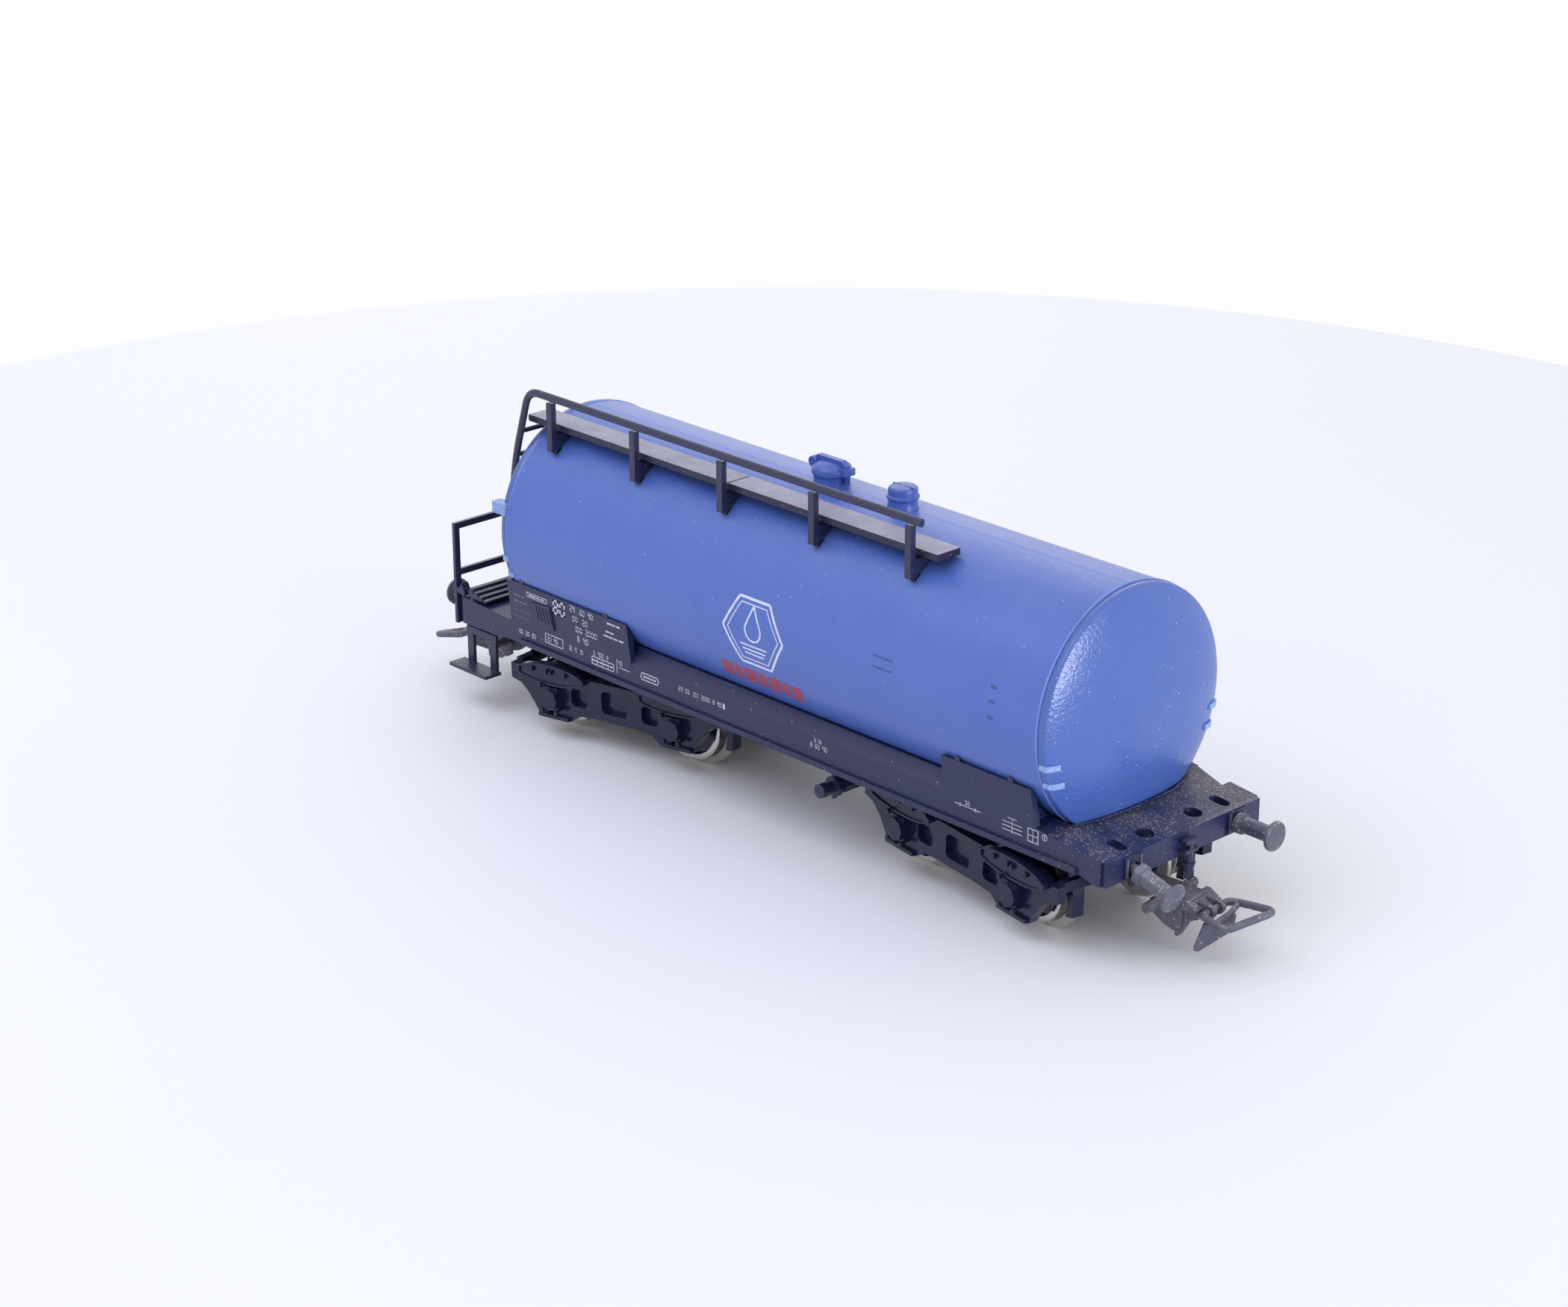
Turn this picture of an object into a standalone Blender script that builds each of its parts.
"""Four-axle tank wagon, a railway model at 1:87, built as separate moulded and turned pieces.

The wagon stands with X along the track, +X at the end without the platform, and Z up. Its wheel
flanges touch z = 0. Every size below is in metres, written as millimetres times MM.
"""
import math

import bmesh
import bpy
from mathutils import Matrix, Vector

MM = 0.001

# Running clearance between neighbouring pieces, and the distance at which corners are one.
GAP = 0.3 * MM
WELD = 0.0005 * MM

# Wheelsets and bogies.
TREAD_RADIUS = 5.4 * MM
FLANGE_DEPTH = 1.2 * MM
FLANGE_WIDTH = 0.9 * MM
BACK_TO_BACK = 14.4 * MM
WHEEL_WIDTH = 2.8 * MM
TREAD_CONE = 0.15 * MM
HUB_RADIUS = 1.9 * MM
WHEEL_STEPS = 16
AXLE_RADIUS = 1.0 * MM
AXLE_LENGTH = 24.6 * MM
AXLE_TIP = 1.2 * MM
AXLE_TIP_RADIUS = 0.35 * MM
WHEELBASE = 22.7 * MM
AXLE_HEIGHT = TREAD_RADIUS + FLANGE_DEPTH
FLANGE_RADIUS = TREAD_RADIUS + FLANGE_DEPTH
BOX_X = WHEELBASE / 2
LEFT_BOGIE_TURN = math.radians(9.0)
RIGHT_BOGIE_TURN = math.radians(-6.4)

# Bogie frame, about its own pivot.
AXLE_COVER = 0.9 * MM
SIDE_OUTER = AXLE_LENGTH / 2 + AXLE_COVER
SIDE_THICKNESS = 1.6 * MM
SIDE_OVERHANG = 8.05 * MM
SIDE_HALF_LENGTH = BOX_X + SIDE_OVERHANG
SIDE_TOP = 10.5 * MM
SIDE_MIDDLE_BOTTOM = 4.8 * MM
SIDE_END_BOTTOM = 8.2 * MM
SIDE_LEAN = math.radians(2.5)
KEEP_BOTTOM = 3.35 * MM
KEEP_HALF_LENGTH = 2.9 * MM
POCKET_DEPTH = 1.0 * MM
POCKET_BOTTOM = 6.0 * MM
BOX_HALF_WIDTH = 1.4 * MM
BOX_DEPTH = 0.9 * MM
BOX_COVER_RADIUS = 1.65 * MM
BOX_COVER_DEPTH = 1.5 * MM
BEARING_RADIUS = AXLE_RADIUS + GAP
SPRING_DEPTH = 0.7 * MM
SPRING_END_Z = 10.2 * MM
SPRING_RISE = 1.55 * MM
SPRING_SAG = 1.45 * MM
SPRING_HALF = 6.3 * MM
SPRING_LEAF = 0.5 * MM
SPRING_SEAT = 0.06 * MM
BOLSTER_WIDTH = 6.0 * MM
BOLSTER_TOP = 10.2 * MM
BOLSTER_BOTTOM = 8.3 * MM
END_BEAM = 1.2 * MM
SHOE_THICKNESS = 1.2 * MM
SHOE_GAP = 0.35 * MM
DRAWBAR_WIDTH = 3.4 * MM
DRAWBAR_TOP = 9.6 * MM
DRAWBAR_THICKNESS = 1.0 * MM
PIVOT_PIN_RADIUS = 1.1 * MM
PIVOT_HEAD_RADIUS = 2.3 * MM
PIVOT_HEAD = 0.7 * MM
BOSS_RADIUS = 3.4 * MM
BOSS_BOTTOM = BOLSTER_TOP + GAP

# Tank.
TANK_RADIUS = 16.4 * MM
TANK_BOTTOM = 12.7 * MM
TANK_LENGTH = 105.5 * MM
TANK_MIDDLE = 1.75 * MM
TANK_HEIGHT = TANK_BOTTOM + TANK_RADIUS
TANK_TOP = TANK_HEIGHT + TANK_RADIUS
TANK_LEFT = TANK_MIDDLE - TANK_LENGTH / 2
TANK_RIGHT = TANK_MIDDLE + TANK_LENGTH / 2
TANK_WALL = 1.4 * MM
CAP_RIM = 1.0 * MM
CAP_DISH = 2.4 * MM
CAP_SPIGOT = 3.0 * MM
TANK_STEPS = 36
DISH_STEPS = 3
TAB_DROPS = (3.7 * MM, 6.3 * MM)
BALLAST_HALF_WIDTH = 6.0 * MM
BALLAST_RISE = 0.8 * MM
BALLAST_INSET = 12.75 * MM
BALLAST_LENGTH = TANK_LENGTH - 2 * BALLAST_INSET

# Underframe.
FRAME_OVERHANG = 22.3 * MM
FRAME_LENGTH = TANK_LENGTH + FRAME_OVERHANG
SILL_INSET = 1.4 * MM
SILL_HALF_WIDTH = TANK_RADIUS - SILL_INSET
SILL_THICKNESS = 1.2 * MM
SILL_TOP = 16.5 * MM
SILL_BOTTOM = 12.7 * MM
FLANGE_LIP = 0.4 * MM
FLANGE_LIP_HEIGHT = 0.7 * MM
SHOULDER_HALF_WIDTH = SILL_HALF_WIDTH - 2.1 * MM
SHOULDER_TOP = SILL_TOP + 1.7 * MM
HEADSTOCK_HALF_WIDTH = SILL_HALF_WIDTH - 0.4 * MM
HEADSTOCK_THICKNESS = 1.5 * MM
HEADSTOCK_BOTTOM = 12.0 * MM
RIGHT_DECK_TOP = 15.3 * MM
LEFT_DECK_TOP = 16.1 * MM
LEFT_DECK_ROOT = 15.6 * MM
LEFT_HEADSTOCK_SET_BACK = 0.65 * MM
FRAME_END = FRAME_LENGTH / 2
LEFT_END = -FRAME_END + LEFT_HEADSTOCK_SET_BACK
PIVOT_OVERHANG = 28.175 * MM
PIVOT_SPACING = FRAME_LENGTH - 2 * PIVOT_OVERHANG
PIVOT_MIDDLE = 2.85 * MM
LEFT_PIVOT = PIVOT_MIDDLE - PIVOT_SPACING / 2
RIGHT_PIVOT = PIVOT_MIDDLE + PIVOT_SPACING / 2
DECK_THICKNESS = 1.5 * MM
CRADLE_WALL = 1.1 * MM
CRADLE_CLEARANCE = 0.25 * MM
CRADLE_RADIUS = TANK_RADIUS + CRADLE_CLEARANCE
LEFT_SADDLE_TOP = TANK_HEIGHT - math.sqrt(CRADLE_RADIUS ** 2 - SILL_HALF_WIDTH ** 2)
RIGHT_SADDLE_TOP = LEFT_SADDLE_TOP - 0.5 * MM
SADDLE_THICKNESS = 1.0 * MM
SADDLE_PROUD = 0.06 * MM
LEFT_SADDLE = (TANK_LEFT - 0.9 * MM, TANK_LEFT + 25.5 * MM)
RIGHT_SADDLE = (TANK_RIGHT - 18.7 * MM, TANK_RIGHT - 3.2 * MM)
SADDLE_SPLAY = 1.1 * MM
DECK_LIP = 0.6 * MM
DECK_LIP_TOP = 16.4 * MM
DECK_NOTCH = (TANK_RIGHT - 1.3 * MM, TANK_RIGHT + 4.1 * MM)
DECK_NOTCH_DEPTH = 1.6 * MM
DECK_HOLE_RADIUS = 1.25 * MM
DECK_HOLE_Y = 4.6 * MM
DECK_SLOT_Y = SILL_HALF_WIDTH - 5.2 * MM
DECK_SLOT = (1.6 * MM, 3.0 * MM)
DECK_HOLE_INSET = 2.7 * MM
WELL_HALF_LENGTH = 6.2 * MM
WELL_HEADROOM = 1.0 * MM
WELL_TOP = AXLE_HEIGHT + FLANGE_RADIUS + WELL_HEADROOM
WELL_INNER = 3.7 * MM

# Fittings on the tank.
MANHOLE_X = TANK_MIDDLE - 1.65 * MM
VENT_X = TANK_MIDDLE + 11.85 * MM
MANHOLE_RADIUS = 2.5 * MM
VENT_RADIUS = 2.0 * MM
FITTING_ROOT = TANK_TOP - 1.9 * MM
DRAIN_CLEARANCE = 6.675 * MM
DRAIN_X = RIGHT_PIVOT - SIDE_HALF_LENGTH - DRAIN_CLEARANCE
DRAIN_Z = 8.5 * MM
DRAIN_HALF_WIDTH = 14.2 * MM

# Walkway, on the near side of the tank's top.
WALKWAY = (TANK_LEFT - 0.7 * MM, TANK_RIGHT - 24.5 * MM)
WALKWAY_OUTER = 10.25 * MM
WALKWAY_INNER = 6.05 * MM
WALKWAY_TOP = TANK_TOP + 0.13 * MM
WALKWAY_THICKNESS = 1.0 * MM
POST_COUNT = 5
POST_FIRST = TANK_LEFT + 5.8 * MM
POST_LAST = TANK_RIGHT - 28.3 * MM
POST_PITCH = (POST_LAST - POST_FIRST) / (POST_COUNT - 1)
POST_Y = 11.35 * MM
POST_DEPTH = 0.9 * MM
POST_WIDTH = 1.1 * MM
RAIL_Z = WALKWAY_TOP + 4.12 * MM
RAIL_RADIUS = 0.45 * MM
RAIL_RIGHT_END = WALKWAY[1] - 1.7 * MM
RAIL_KNEES = ((-2.3 * MM, 6.0 * MM), (-3.3 * MM, 11.5 * MM))
BRACKET_INNER = 8.3 * MM
LADDER_Y = 6.3 * MM
LADDER_TOP = WALKWAY_TOP - WALKWAY_THICKNESS - GAP - RAIL_RADIUS
LADDER_FOOT = LEFT_DECK_TOP + 0.1 * MM
LADDER_RUNGS = 7
LADDER_STANDOFF = 0.3 * MM
RUNG_RADIUS = 0.35 * MM
RUNG_PITCH = (LADDER_TOP - LADDER_FOOT - 0.8 * MM) / LADDER_RUNGS

# Platform end.
PLATFORM = (LEFT_END + 1.95 * MM, LEFT_END + 6.15 * MM)
PLATFORM_TOP = 17.8 * MM
PLATFORM_FALL = 0.36 * MM
PLATFORM_THICKNESS = 0.8 * MM
PLANKS = 4
PLANK_GROOVE = 0.22 * MM
RAILING_Y = SILL_HALF_WIDTH - 0.3 * MM
RAILING_BAR = 0.95 * MM
RAILING_THICKNESS = 0.6 * MM
RAILING_TOP = 27.2 * MM
RAILING_MIDDLE = 20.0 * MM
RAILING_BOTTOM = 11.7 * MM
STEP = (LEFT_END - 0.15 * MM, LEFT_END + 8.35 * MM)
STEP_TREAD_Z = 6.15 * MM
STEP_OUTER = SILL_HALF_WIDTH + 2.2 * MM
STEP_LEG_Y = SILL_HALF_WIDTH - 0.8 * MM

# Buffers and couplers.
BUFFER_Y = SILL_HALF_WIDTH - 5.17 * MM
BUFFER_HEIGHT = 13.55 * MM
BUFFER_LENGTH = 6.85 * MM
BUFFER_PAD = 0.3 * MM
BUFFER_HEAD_RADIUS = 2.0 * MM
BUFFER_SHANK_RADIUS = 1.1 * MM
BUFFER_SPIGOT_RADIUS = 0.7 * MM
LOOSE_BUFFER_DROOP = math.radians(16.0)
LOOSE_BUFFER_SHIFT = 0.5 * MM
LOOSE_BUFFER_DROP = 0.35 * MM
COUPLER_PIVOT_X = FRAME_END - 4.3 * MM
COUPLER_HINGE_X = COUPLER_PIVOT_X + 10.7 * MM
COUPLER_HINGE_Z = 7.0 * MM
COUPLER_PIN_RADIUS = 0.7 * MM
RIGHT_COUPLER_TURN = math.radians(12.3)
LEFT_COUPLER_TURN = math.radians(0.0)
LEFT_LOOP_DROOP = math.radians(24.0)
LOOP_WIRE = 0.5 * MM
LOOP_HALF_WIDTH = 2.6 * MM
EAR_RADIUS = 0.95 * MM


# Scene and material helpers.

def reset_scene():
    for item in list(bpy.data.objects):
        bpy.data.objects.remove(item, do_unlink=True)


def make_collection(name):
    collection = bpy.data.collections.new(name)
    bpy.context.scene.collection.children.link(collection)
    return collection


def make_material(name, colour, roughness, metallic=0.0):
    material = bpy.data.materials.new(name)
    material.use_nodes = True
    shader = material.node_tree.nodes["Principled BSDF"]
    shader.inputs["Base Color"].default_value = (*colour, 1.0)
    shader.inputs["Roughness"].default_value = roughness
    shader.inputs["Metallic"].default_value = metallic
    material.diffuse_color = (*colour, 1.0)
    return material


def make_empty(name, location, turn=0.0, parent=None):
    empty = bpy.data.objects.new(name, None)
    PARTS.objects.link(empty)
    empty.location = location
    empty.rotation_euler = (0.0, 0.0, turn)
    empty.parent = parent
    return empty


# Solid-making helpers. Each returns a mesh object in the cutters collection.

def as_object(mesh, name="piece"):
    piece = bpy.data.objects.new(name, mesh)
    CUTTERS.objects.link(piece)
    piece.hide_render = True
    piece.display_type = "WIRE"
    return piece


def bake(piece, weld=0.0):
    """Replace an object by the mesh that its modifiers or its curve make."""
    bpy.context.view_layer.update()
    graph = bpy.context.evaluated_depsgraph_get()
    mesh = bpy.data.meshes.new_from_object(piece.evaluated_get(graph))
    if weld:
        work = bmesh.new()
        work.from_mesh(mesh)
        bmesh.ops.remove_doubles(work, verts=work.verts, dist=weld)
        bmesh.ops.recalc_face_normals(work, faces=work.faces)
        work.to_mesh(mesh)
        work.free()
    baked = as_object(mesh)
    baked.matrix_world = piece.matrix_world.copy()
    bpy.data.objects.remove(piece, do_unlink=True)
    return baked


def box(low, high):
    """A box between two corners."""
    work = bmesh.new()
    cube = bmesh.ops.create_cube(work, size=1.0)
    for corner in cube["verts"]:
        corner.co = [high[i] if corner.co[i] > 0 else low[i] for i in range(3)]
    mesh = bpy.data.meshes.new("box")
    work.to_mesh(mesh)
    work.free()
    return as_object(mesh)


# Exact quarter turns that lay a solid's own Z, or a flat outline's plane, along the named axes.
AXIS_TURN = {
    "X": Matrix(((0, 0, 1, 0), (0, 1, 0, 0), (-1, 0, 0, 0), (0, 0, 0, 1))),
    "Y": Matrix(((1, 0, 0, 0), (0, 0, 1, 0), (0, -1, 0, 0), (0, 0, 0, 1))),
    "Z": Matrix.Identity(4),
}
PLANE_TURN = {
    "XY": Matrix.Identity(4),
    "XZ": Matrix(((1, 0, 0, 0), (0, 0, -1, 0), (0, 1, 0, 0), (0, 0, 0, 1))),
    "YZ": Matrix(((0, 0, 1, 0), (1, 0, 0, 0), (0, 1, 0, 0), (0, 0, 0, 1))),
}


def rod(axis, centre, radius, length, steps=16, end_radius=None):
    """A cylinder, or a cone that ends at end_radius, centred on a point."""
    work = bmesh.new()
    place = Matrix.Translation(centre) @ AXIS_TURN[axis]
    far = radius if end_radius is None else end_radius
    bmesh.ops.create_cone(work, cap_ends=True, segments=steps, radius1=radius, radius2=far,
                          depth=length, matrix=place)
    mesh = bpy.data.meshes.new("rod")
    work.to_mesh(mesh)
    work.free()
    return as_object(mesh)


def turned(axis, centre, profile, steps=24):
    """A solid turned about an axis from (radius, height) points listed top to bottom."""
    mesh = bpy.data.meshes.new("turned")
    corners = [(radius, 0.0, height) for radius, height in profile]
    edges = [(i, i + 1) for i in range(len(corners) - 1)]
    mesh.from_pydata(corners, edges, [])
    piece = as_object(mesh)
    screw = piece.modifiers.new("turn", "SCREW")
    screw.axis = "Z"
    screw.steps = steps
    screw.render_steps = steps
    screw.use_merge_vertices = True
    screw.merge_threshold = WELD
    piece.matrix_world = Matrix.Translation(centre) @ AXIS_TURN[axis]
    return flatten_place(bake(piece, WELD))


def flatten_place(piece):
    """Move an object's placement into its mesh."""
    piece.data.transform(piece.matrix_world)
    piece.matrix_world = Matrix.Identity(4)
    return piece


def plate(plane, outline, low, high, holes=()):
    """A flat outline, with holes, thickened between two levels of its plane's third axis."""
    curve = bpy.data.curves.new("plate", "CURVE")
    curve.dimensions = "2D"
    curve.fill_mode = "BOTH"
    curve.extrude = (high - low) / 2
    for loop in (outline, *holes):
        spline = curve.splines.new("POLY")
        spline.points.add(len(loop) - 1)
        for point, (u, v) in zip(spline.points, loop):
            point.co = (u, v, 0.0, 1.0)
        spline.use_cyclic_u = True
    piece = as_object(curve)
    piece.matrix_world = PLANE_TURN[plane]
    piece = flatten_place(bake(piece, WELD))
    across = "XYZ".index((set("XYZ") - set(plane)).pop())
    for corner in piece.data.vertices:
        corner.co[across] = low if corner.co[across] < 0 else high
    return piece


def wire(points, radius, resolution=2, closed=False):
    """A round bar along a list of points."""
    curve = bpy.data.curves.new("wire", "CURVE")
    curve.dimensions = "3D"
    curve.bevel_depth = radius
    curve.bevel_resolution = resolution
    curve.use_fill_caps = not closed
    spline = curve.splines.new("POLY")
    spline.points.add(len(points) - 1)
    for point, place in zip(spline.points, points):
        point.co = (*place, 1.0)
    spline.use_cyclic_u = closed
    return bake(as_object(curve), WELD)


def combine(piece, others, operation):
    for other in others:
        step = piece.modifiers.new(operation, "BOOLEAN")
        step.operation = operation
        step.solver = "EXACT"
        step.object = other
        piece = bake(piece)
        bpy.data.objects.remove(other, do_unlink=True)
    return piece


def join(piece, *others):
    return combine(piece, others, "UNION")


def cut(piece, *others):
    return combine(piece, others, "DIFFERENCE")


def keep(piece, *others):
    return combine(piece, others, "INTERSECT")


def merge_flat_faces(mesh):
    """Rejoin the flat faces that the booleans have split."""
    work = bmesh.new()
    work.from_mesh(mesh)
    bmesh.ops.dissolve_limit(work, angle_limit=math.radians(0.05), verts=work.verts, edges=work.edges)
    work.to_mesh(mesh)
    work.free()


def finish(name, piece, material, parent, origin=(0.0, 0.0, 0.0), turn=None):
    """Name a finished solid, set its origin and hang it under its carrier."""
    mesh = piece.data
    merge_flat_faces(mesh)
    mesh.transform(Matrix.Translation(-Vector(origin)))
    mesh.name = name
    mesh.materials.clear()
    mesh.materials.append(material)
    mesh.shade_smooth()
    mesh.set_sharp_from_angle(angle=math.radians(32.0))
    piece.name = name
    piece.hide_render = False
    piece.display_type = "TEXTURED"
    CUTTERS.objects.unlink(piece)
    PARTS.objects.link(piece)
    piece.parent = parent
    piece.location = origin
    if turn is not None:
        piece.rotation_euler = turn
    return piece


def mirrored(piece, axis):
    """A copy of a solid reflected in the plane through the origin across one axis."""
    mesh = piece.data.copy()
    mesh.transform(Matrix.Diagonal([-1.0 if name == axis else 1.0 for name in "XYZ"] + [1.0]))
    mesh.flip_normals()
    return as_object(mesh)


def arc(centre, radius, start, end, steps, squeeze=1.0):
    """Points along an arc from one angle to another, both in degrees, both included."""
    points = []
    for i in range(steps + 1):
        angle = math.radians(start + (end - start) * i / steps)
        points.append((centre[0] + radius * math.cos(angle),
                       centre[1] + squeeze * radius * math.sin(angle)))
    return points


def rounded_box(low, high, radius, steps=2):
    """The outline of a rectangle with round corners."""
    (x0, y0), (x1, y1) = low, high
    corners = ((x1 - radius, y1 - radius, 0), (x0 + radius, y1 - radius, 90),
               (x0 + radius, y0 + radius, 180), (x1 - radius, y0 + radius, 270))
    outline = []
    for x, y, start in corners:
        outline += arc((x, y), radius, start, start + 90, steps)
    return outline


# Tank.

def tank_surface(y):
    """Height of the tank's upper surface at a distance from the middle."""
    return TANK_HEIGHT + math.sqrt(TANK_RADIUS ** 2 - y ** 2)


def tank_form(clearance, steps=TANK_STEPS):
    """The closed outer shape of the whole tank, grown by a clearance."""
    radius = TANK_RADIUS + clearance
    dish = CAP_DISH + clearance
    profile = [(0.0, TANK_RIGHT + dish)]
    for i in range(1, DISH_STEPS + 1):
        angle = math.radians(90 - 90 * i / DISH_STEPS)
        profile.append((radius * math.cos(angle), TANK_RIGHT + dish * math.sin(angle)))
    mirror = [(r, 2 * TANK_MIDDLE - x) for r, x in reversed(profile)]
    return turned("X", (0.0, 0.0, TANK_HEIGHT), profile + mirror, steps)


def make_barrel():
    left, right = TANK_LEFT + CAP_RIM + GAP, TANK_RIGHT - CAP_RIM - GAP
    inner = TANK_RADIUS - TANK_WALL
    middle, length = (left + right) / 2, right - left
    barrel = rod("X", (middle, 0, TANK_HEIGHT), TANK_RADIUS, length, TANK_STEPS)
    hollow = rod("X", (middle, 0, TANK_HEIGHT), inner, length + 2 * MM, TANK_STEPS)
    barrel = cut(barrel, hollow)
    for i in range(POST_COUNT):
        barrel = cut(barrel, post_foot(i, GAP))
    finish("tank_barrel", barrel, BLUE, WAGON)


def make_cap(name, side):
    """A dished tank end with a raised rim and a spigot that fits inside the barrel."""
    profile = [(0.0, CAP_DISH)]
    for i in range(1, DISH_STEPS + 1):
        angle = math.radians(90 - 90 * i / DISH_STEPS)
        profile.append((TANK_RADIUS * math.cos(angle), CAP_DISH * math.sin(angle)))
    spigot = TANK_RADIUS - TANK_WALL - GAP
    profile += [(TANK_RADIUS, -CAP_RIM), (spigot, -CAP_RIM), (spigot, -CAP_RIM - CAP_SPIGOT),
                (spigot - TANK_WALL, -CAP_RIM - CAP_SPIGOT), (spigot - TANK_WALL, -CAP_RIM),
                (0.0, -CAP_RIM)]
    cap = turned("X", (0, 0, 0), profile, TANK_STEPS)
    tabs = [cap_tab(-drop) for drop in TAB_DROPS]
    tabs += [mirrored(tab, "Y") for tab in tabs]
    if side < 0:
        tabs.append(cap_bracket())
    cap = join(cap, *tabs)
    edge = TANK_RIGHT if side > 0 else -TANK_LEFT
    cap.data.transform(Matrix.Translation((edge, 0, TANK_HEIGHT)))
    if side < 0:
        flipped = mirrored(cap, "X")
        bpy.data.objects.remove(cap, do_unlink=True)
        cap = flipped
    finish(name, cap, BLUE, WAGON)


def cap_tab(height):
    """A small raised band over the rim of a tank end."""
    y = -math.sqrt(TANK_RADIUS ** 2 - height ** 2)
    across = 0.85 * MM
    outline = [(-CAP_RIM, y - 0.3 * MM), (0.9 * MM, y - 0.3 * MM), (1.7 * MM, y + 1.5 * MM),
               (1.2 * MM, y + 1.8 * MM), (-CAP_RIM, y + 0.8 * MM)]
    return plate("XY", outline, height - across / 2, height + across / 2)


def cap_bracket():
    """The ladder's fixing lug on the rim of the left tank end."""
    height, across = 3.8 * MM, 1.7 * MM
    y = -math.sqrt(TANK_RADIUS ** 2 - height ** 2)
    return box((-CAP_RIM, y - 0.5 * MM, height - across / 2), (1.9 * MM, y + 1.2 * MM, height + across / 2))


def above_tank(profile):
    """Turned or flat (across, height) points with their heights counted from the tank's top."""
    return [(across, TANK_TOP + height) for across, height in profile]


def make_manhole():
    neck = turned("Z", (MANHOLE_X, 0, 0), above_tank([
        (0.0, 3.25 * MM), (1.6 * MM, 3.1 * MM), (2.45 * MM, 2.7 * MM), (2.75 * MM, 2.2 * MM),
        (2.75 * MM, 1.6 * MM), (MANHOLE_RADIUS, 1.4 * MM), (MANHOLE_RADIUS, 0.1 * MM),
        (2.7 * MM, FITTING_ROOT - TANK_TOP), (0.0, FITTING_ROOT - TANK_TOP)]), 16)
    strap_outline = [(-3.1, 1.5), (-3.1, 3.1), (-2.3, 3.7), (2.2, 3.7), (3.1, 3.1), (3.1, 1.5)]
    strap = plate("XZ", above_tank([(MANHOLE_X + x * MM, z * MM) for x, z in strap_outline]),
                  -0.45 * MM, 0.45 * MM)
    left_lug = rod("Y", (MANHOLE_X - 2.75 * MM, 0, TANK_TOP + 2.7 * MM), 0.75 * MM, 2.2 * MM, 12)
    right_lug = box((MANHOLE_X + 2.2 * MM, -1.0 * MM, TANK_TOP + 1.8 * MM),
                    (MANHOLE_X + 3.5 * MM, 1.0 * MM, TANK_TOP + 2.8 * MM))
    clamp = rod("Z", (MANHOLE_X + 2.95 * MM, 0, TANK_TOP + 1.5 * MM), 0.42 * MM, 1.9 * MM, 8)
    dome = join(neck, strap, left_lug, right_lug, clamp)
    finish("manhole_dome", cut(dome, tank_form(GAP)), BLUE, WAGON)


def make_vent():
    neck = turned("Z", (VENT_X, 0, 0), above_tank([
        (0.0, 3.05 * MM), (1.75 * MM, 2.95 * MM), (VENT_RADIUS, 2.65 * MM),
        (VENT_RADIUS, 1.8 * MM), (2.2 * MM, 1.7 * MM), (2.2 * MM, 1.4 * MM),
        (VENT_RADIUS, 1.3 * MM), (VENT_RADIUS, 0.4 * MM), (2.2 * MM, -0.1 * MM),
        (2.2 * MM, FITTING_ROOT - TANK_TOP), (0.0, FITTING_ROOT - TANK_TOP)]), 14)
    slot = box((VENT_X - 2.5 * MM, -0.15 * MM, TANK_TOP + 2.75 * MM),
               (VENT_X + 2.5 * MM, 0.15 * MM, TANK_TOP + 3.5 * MM))
    finish("vent_dome", cut(neck, slot, tank_form(GAP)), BLUE, WAGON)


def make_ballast():
    """A steel strip on the floor of the barrel."""
    inner, half = TANK_RADIUS - TANK_WALL - GAP, BALLAST_HALF_WIDTH
    top = TANK_HEIGHT - math.sqrt(inner ** 2 - half ** 2) + BALLAST_RISE
    start = math.degrees(math.asin(half / inner))
    outline = arc((0.0, TANK_HEIGHT), inner, 270 - start, 270 + start, 8)
    outline += [(half, top), (-half, top)]
    strip = plate("YZ", outline, TANK_MIDDLE - BALLAST_LENGTH / 2, TANK_MIDDLE + BALLAST_LENGTH / 2)
    finish("ballast_weight", strip, STEEL, WAGON)


# Walkway, handrail and ladder.

def make_walkway():
    deck = box((WALKWAY[0], -WALKWAY_OUTER, WALKWAY_TOP - WALKWAY_THICKNESS),
               (WALKWAY[1], -WALKWAY_INNER, WALKWAY_TOP))
    joint = POST_FIRST + 2 * POST_PITCH
    groove = box((joint - 0.12 * MM, -12 * MM, WALKWAY_TOP - 0.2 * MM),
                 (joint + 0.12 * MM, 0, WALKWAY_TOP + MM))
    finish("walkway_deck", cut(deck, groove), DARK, WAGON)


def post_foot(index, clearance):
    """The tab of a walkway post that enters its slot in the barrel."""
    x = POST_FIRST + index * POST_PITCH
    half = 0.35 * MM + clearance
    middle = POST_Y - POST_DEPTH
    low = tank_surface(middle) - 1.2 * MM - clearance
    return box((x - half, -middle - 0.4 * MM - clearance, low),
               (x + half, -middle + 0.4 * MM + clearance, low + 2.4 * MM))


def make_posts():
    outer, inner = POST_Y + POST_DEPTH / 2, POST_Y - POST_DEPTH / 2
    under = WALKWAY_TOP - WALKWAY_THICKNESS - GAP
    top = RAIL_Z - RAIL_RADIUS - GAP
    seat = TANK_RADIUS + GAP
    start = math.degrees(math.acos(-BRACKET_INNER / seat))
    end = math.degrees(math.acos(-inner / seat))
    foot = arc((0.0, TANK_HEIGHT), seat, start, end, 3)
    outline = foot + [(-outer, foot[-1][1]), (-outer, top), (-inner, top), (-inner, under),
                      (-BRACKET_INNER, under)]
    for i in range(POST_COUNT):
        x = POST_FIRST + i * POST_PITCH
        post = plate("YZ", outline, x - POST_WIDTH / 2, x + POST_WIDTH / 2)
        finish(f"walkway_post_{i + 1}", join(post, post_foot(i, 0.0)), DARK, WAGON)


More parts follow.
